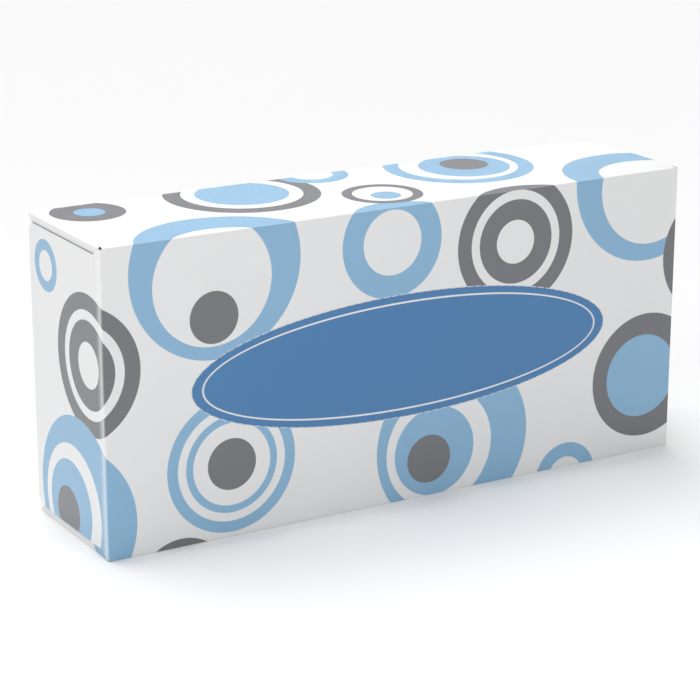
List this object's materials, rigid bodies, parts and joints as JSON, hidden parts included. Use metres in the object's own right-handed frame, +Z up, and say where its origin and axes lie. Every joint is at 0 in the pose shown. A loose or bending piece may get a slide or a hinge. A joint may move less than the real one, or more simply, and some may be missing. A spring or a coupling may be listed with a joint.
{
  "type": "tissue box",
  "caption": "Flat sealed carton of facial tissues, one folded and glued board blank with lapped end flaps and a perforated oval to tear out, standing on a long narrow side.",
  "frame": {"origin": "centre of the base, under the middle of the carton", "axes": "+X along the length, -Y out of the dispensing face, +Z up as it stands on a long narrow panel"},
  "size_m": [0.2164, 0.0532, 0.1],
  "materials": {
    "printed_board": "white semi-gloss coated folding board, printed with light blue and grey rings and dots and a mid-blue oval"
  },
  "bodies": {
    "root": {"carton": "printed_board"}
  },
  "joints": []
}
